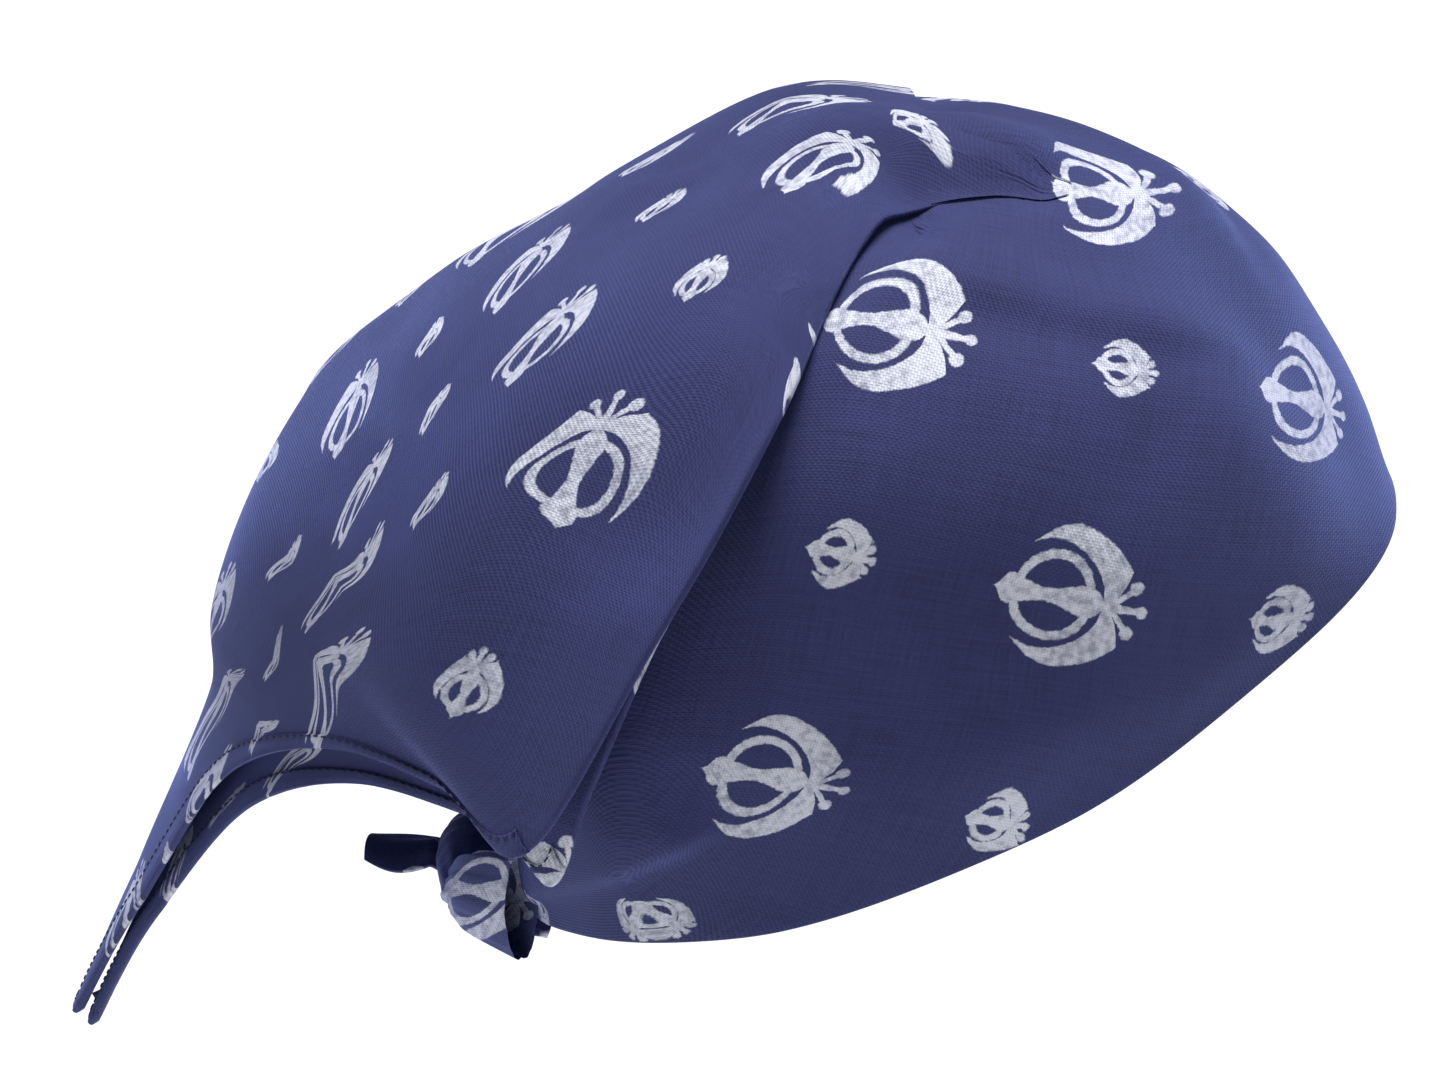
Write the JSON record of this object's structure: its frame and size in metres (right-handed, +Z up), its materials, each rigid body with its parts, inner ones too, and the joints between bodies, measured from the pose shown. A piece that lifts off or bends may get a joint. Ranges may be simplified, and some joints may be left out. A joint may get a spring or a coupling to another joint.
{
  "type": "rumal head wrap",
  "caption": "Square cotton head wrap folded corner to corner, worn tight over the crown and tied at the nape under a two-leaf back flap.",
  "frame": {"origin": "inside of the top of the cap, where it sits on the head", "axes": "+Z up, -Y the way the wearer faces, +X toward the wearer's left"},
  "size_m": [0.1975, 0.2855, 0.2569],
  "materials": {
    "navy_cotton": "woven cotton with a white print, no gloss",
    "hem_cotton": "rolled and stitched hem"
  },
  "bodies": {
    "root": {"cap_wrap": "navy_cotton", "outer_flap": "navy_cotton", "inner_flap": "navy_cotton", "outer_hem": "hem_cotton", "inner_hem": "hem_cotton", "right_tie": "navy_cotton", "left_tie": "navy_cotton", "knot": "navy_cotton", "back_end": "navy_cotton", "front_end": "navy_cotton"}
  },
  "joints": []
}
